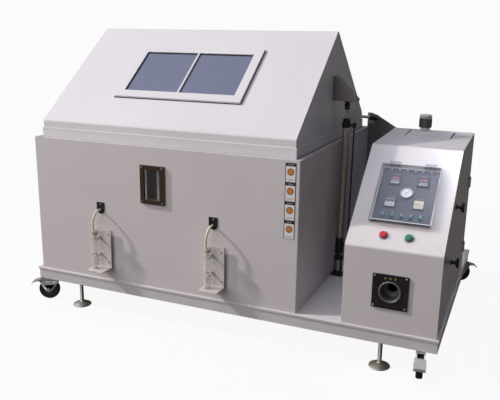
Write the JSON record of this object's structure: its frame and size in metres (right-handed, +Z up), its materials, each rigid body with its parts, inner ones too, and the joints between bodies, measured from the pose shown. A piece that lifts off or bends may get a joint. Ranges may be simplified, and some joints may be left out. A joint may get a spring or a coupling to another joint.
{
  "type": "environmental test chamber",
  "caption": "Salt spray corrosion test chamber: gabled lid lifted by an air cylinder over a water-sealed tank, with a sloping control cabinet on a wheeled base",
  "frame": {"origin": "on the floor, under the middle of the box round the whole object without its free tubes", "axes": "+X to the right along the longest side, +Y to the back, +Z up; the front faces -Y"},
  "size_m": [2.0012, 1.3611, 1.3001],
  "materials": {
    "deck_paint": "satin enamel",
    "frame_paint": "satin enamel",
    "zinc_plate": "zinc plated pressing",
    "cabinet_paint": "gloss moulded sheet",
    "lid_paint": "gloss moulded sheet",
    "tank_plastic": "welded sheet",
    "seal_rubber": "moulded",
    "clear_acrylic": "clear moulded",
    "stand_acrylic": "frosted sheet",
    "gauge_bronze": "smoked sheet",
    "window_paint": "moulded frame",
    "window_glass": "tinted sheet",
    "tube_silicone": "soft silicone",
    "bracket_paint": "satin enamel",
    "shaft_steel": "ground bar",
    "black_plastic": "moulded",
    "screen_paint": "satin enamel",
    "barrel_aluminium": "anodised tube",
    "air_line_plastic": "extruded tube",
    "panel_film": "printed film",
    "instrument_plastic": "moulded",
    "cover_acrylic": "clear sheet",
    "stop_red": "moulded",
    "start_green": "moulded",
    "rocker_plastic": "moulded",
    "socket_plastic": "moulded",
    "cap_plastic": "moulded",
    "tank_moulding": "moulded",
    "wheel_rubber": "moulded tread",
    "foot_steel": "turned and plated"
  },
  "bodies": {
    "root": {"base_deck": "deck_paint", "base_frame": "frame_paint", "beaker_stands": "stand_acrylic", "cabinet_shell": "cabinet_paint", "caster_plates": "zinc_plate", "control_shell": "cabinet_paint", "cylinder_foot": "black_plastic", "door_hinges": "zinc_plate", "drain_tube_left": "tube_silicone", "drain_tube_right": "tube_silicone", "front_socket": "socket_plastic", "hinge_bearings": "black_plastic", "inner_tank": "tank_plastic", "level_gauge": "gauge_bronze", "measuring_cylinder_left": "clear_acrylic", "measuring_cylinder_right": "clear_acrylic", "mist_collectors": "clear_acrylic", "panel_instruments": "instrument_plastic", "panel_plate": "panel_film", "process_tanks": "tank_moulding", "rear_screens": "screen_paint", "specimen_rack": "tank_plastic", "spray_tower": "clear_acrylic", "trough_seal": "seal_rubber"},
    "lid": {"lid_shell": "lid_paint", "window_frame": "window_paint", "window_panes": "window_glass", "lid_brackets": "bracket_paint", "hinge_shaft": "shaft_steel"},
    "air_cylinder": {"cylinder_barrel": "barrel_aluminium", "air_line": "air_line_plastic"},
    "cylinder_rod": {"cylinder_rod": "shaft_steel"},
    "panel_cover": {"panel_cover": "cover_acrylic"},
    "start_button": {"start_button": "start_green"},
    "stop_button": {"stop_button": "stop_red"},
    "side_door": {"side_door": "cabinet_paint"},
    "door_latch_low": {"door_latch_low": "black_plastic"},
    "door_latch_high": {"door_latch_high": "black_plastic"},
    "filler_cap": {"filler_cap": "cap_plastic"},
    "rocker_switch_1": {"rocker_switch_1": "rocker_plastic"},
    "rocker_switch_2": {"rocker_switch_2": "rocker_plastic"},
    "rocker_switch_3": {"rocker_switch_3": "rocker_plastic"},
    "rocker_switch_4": {"rocker_switch_4": "rocker_plastic"},
    "rocker_switch_5": {"rocker_switch_5": "rocker_plastic"},
    "caster_fork_front_left": {"caster_fork_front_left": "zinc_plate"},
    "caster_wheel_front_left": {"caster_wheel_front_left": "wheel_rubber"},
    "caster_brake_front_left": {"caster_brake_front_left": "zinc_plate"},
    "level_foot_front_left": {"level_foot_front_left": "foot_steel"},
    "caster_fork_front_right": {"caster_fork_front_right": "zinc_plate"},
    "caster_wheel_front_right": {"caster_wheel_front_right": "wheel_rubber"},
    "caster_brake_front_right": {"caster_brake_front_right": "zinc_plate"},
    "level_foot_front_right": {"level_foot_front_right": "foot_steel"},
    "caster_fork_rear_left": {"caster_fork_rear_left": "zinc_plate"},
    "caster_wheel_rear_left": {"caster_wheel_rear_left": "wheel_rubber"},
    "caster_brake_rear_left": {"caster_brake_rear_left": "zinc_plate"},
    "level_foot_rear_left": {"level_foot_rear_left": "foot_steel"},
    "caster_fork_rear_right": {"caster_fork_rear_right": "zinc_plate"},
    "caster_wheel_rear_right": {"caster_wheel_rear_right": "wheel_rubber"},
    "caster_brake_rear_right": {"caster_brake_rear_right": "zinc_plate"},
    "level_foot_rear_right": {"level_foot_rear_right": "foot_steel"}
  },
  "joints": [
    {"name": "lid_hinge", "type": "hinge", "parent": "root", "child": "lid", "pos_m": [0, 0.519, 0.862], "axis": [-1, 0, 0], "range_deg": [0, 42]},
    {"name": "cylinder_tilt", "type": "hinge", "parent": "root", "child": "air_cylinder", "pos_m": [0.405, -0.067, 0.257], "axis": [-1, 0, 0], "range_deg": [0, 11.23]},
    {"name": "rod_slide", "type": "slide", "parent": "air_cylinder", "child": "cylinder_rod", "axis": [0, 0.0277, 0.9996], "range_m": [0, 0.37581]},
    {"name": "panel_cover_hinge", "type": "hinge", "parent": "root", "child": "panel_cover", "pos_m": [0.754, -0.2924, 0.77201], "axis": [-1, 0, 0], "range_deg": [0, 100]},
    {"name": "stop_button_press", "type": "slide", "parent": "root", "child": "stop_button", "axis": [0, 0.6564, -0.7544], "range_m": [0, 0.004], "stiffness_N_per_m": 300, "springref_m": -0.003},
    {"name": "start_button_press", "type": "slide", "parent": "root", "child": "start_button", "axis": [0, 0.6564, -0.7544], "range_m": [0, 0.004], "stiffness_N_per_m": 300, "springref_m": -0.003},
    {"name": "rocker_1_tip", "type": "hinge", "parent": "root", "child": "rocker_switch_1", "pos_m": [0.681, -0.47404, 0.60601], "axis": [1, 0, 0], "range_deg": [0, 20]},
    {"name": "rocker_2_tip", "type": "hinge", "parent": "root", "child": "rocker_switch_2", "pos_m": [0.7175, -0.47404, 0.60601], "axis": [1, 0, 0], "range_deg": [0, 20]},
    {"name": "rocker_3_tip", "type": "hinge", "parent": "root", "child": "rocker_switch_3", "pos_m": [0.754, -0.47404, 0.60601], "axis": [1, 0, 0], "range_deg": [0, 20]},
    {"name": "rocker_4_tip", "type": "hinge", "parent": "root", "child": "rocker_switch_4", "pos_m": [0.7905, -0.47404, 0.60601], "axis": [1, 0, 0], "range_deg": [0, 20]},
    {"name": "rocker_5_tip", "type": "hinge", "parent": "root", "child": "rocker_switch_5", "pos_m": [0.827, -0.47404, 0.60601], "axis": [1, 0, 0], "range_deg": [0, 20]},
    {"name": "side_door_hinge", "type": "hinge", "parent": "root", "child": "side_door", "pos_m": [0.943, 0.251, 0.452], "axis": [0, 0, 1], "range_deg": [0, 110]},
    {"name": "door_latch_low_turn", "type": "hinge", "parent": "side_door", "child": "door_latch_low", "pos_m": [0.939, -0.307, 0.393], "axis": [-1, 0, 0], "range_deg": [0, 90]},
    {"name": "door_latch_high_turn", "type": "hinge", "parent": "side_door", "child": "door_latch_high", "pos_m": [0.939, -0.307, 0.627], "axis": [-1, 0, 0], "range_deg": [0, 90]},
    {"name": "filler_cap_lift", "type": "slide", "parent": "root", "child": "filler_cap", "axis": [0, -0.0222, 0.9998], "range_m": [0, 0.06]},
    {"name": "caster_swivel_front_left", "type": "hinge", "parent": "root", "child": "caster_fork_front_left", "pos_m": [-0.881, -0.549, 0.1127], "axis": [0, 0, 1], "continuous": true},
    {"name": "caster_roll_front_left", "type": "hinge", "parent": "caster_fork_front_left", "child": "caster_wheel_front_left", "pos_m": [-0.91598, -0.56385, 0.052], "axis": [0.3907, -0.9205, 0], "continuous": true},
    {"name": "caster_brake_front_left_press", "type": "hinge", "parent": "caster_fork_front_left", "child": "caster_brake_front_left", "pos_m": [-0.95096, -0.5787, 0.0925], "axis": [0.3907, -0.9205, 0], "range_deg": [0, 28]},
    {"name": "level_foot_front_left_screw", "type": "slide", "parent": "root", "child": "level_foot_front_left", "axis": [0, 0, -1], "range_m": [0, 0.02]},
    {"name": "caster_swivel_front_right", "type": "hinge", "parent": "root", "child": "caster_fork_front_right", "pos_m": [0.881, -0.549, 0.1127], "axis": [0, 0, 1], "continuous": true},
    {"name": "caster_roll_front_right", "type": "hinge", "parent": "caster_fork_front_right", "child": "caster_wheel_front_right", "pos_m": [0.88563, -0.58672, 0.052], "axis": [0.9925, 0.1219, 0], "continuous": true},
    {"name": "caster_brake_front_right_press", "type": "hinge", "parent": "caster_fork_front_right", "child": "caster_brake_front_right", "pos_m": [0.89026, -0.62443, 0.0925], "axis": [0.9925, 0.1219, 0], "range_deg": [-28, 0]},
    {"name": "level_foot_front_right_screw", "type": "slide", "parent": "root", "child": "level_foot_front_right", "axis": [0, 0, -1], "range_m": [0, 0.02]},
    {"name": "caster_swivel_rear_left", "type": "hinge", "parent": "root", "child": "caster_fork_rear_left", "pos_m": [-0.881, 0.559, 0.1127], "axis": [0, 0, 1], "continuous": true},
    {"name": "caster_roll_rear_left", "type": "hinge", "parent": "caster_fork_rear_left", "child": "caster_wheel_rear_left", "pos_m": [-0.88563, 0.59672, 0.052], "axis": [-0.9925, -0.1219, 0], "continuous": true},
    {"name": "caster_brake_rear_left_press", "type": "hinge", "parent": "caster_fork_rear_left", "child": "caster_brake_rear_left", "pos_m": [-0.89026, 0.63443, 0.0925], "axis": [-0.9925, -0.1219, 0], "range_deg": [0, 28]},
    {"name": "level_foot_rear_left_screw", "type": "slide", "parent": "root", "child": "level_foot_rear_left", "axis": [0, 0, -1], "range_m": [0, 0.02]},
    {"name": "caster_swivel_rear_right", "type": "hinge", "parent": "root", "child": "caster_fork_rear_right", "pos_m": [0.881, 0.559, 0.1127], "axis": [0, 0, 1], "continuous": true},
    {"name": "caster_roll_rear_right", "type": "hinge", "parent": "caster_fork_rear_right", "child": "caster_wheel_rear_right", "pos_m": [0.91598, 0.57385, 0.052], "axis": [-0.3907, 0.9205, 0], "continuous": true},
    {"name": "caster_brake_rear_right_press", "type": "hinge", "parent": "caster_fork_rear_right", "child": "caster_brake_rear_right", "pos_m": [0.95096, 0.5887, 0.0925], "axis": [-0.3907, 0.9205, 0], "range_deg": [0, 28]},
    {"name": "level_foot_rear_right_screw", "type": "slide", "parent": "root", "child": "level_foot_rear_right", "axis": [0, 0, -1], "range_m": [0, 0.02]}
  ],
  "couplings": [
    {"joint": "cylinder_tilt", "follows": "lid_hinge", "ratio": 0.26729},
    {"joint": "rod_slide", "follows": "lid_hinge", "m_per_rad": 0.51268}
  ]
}
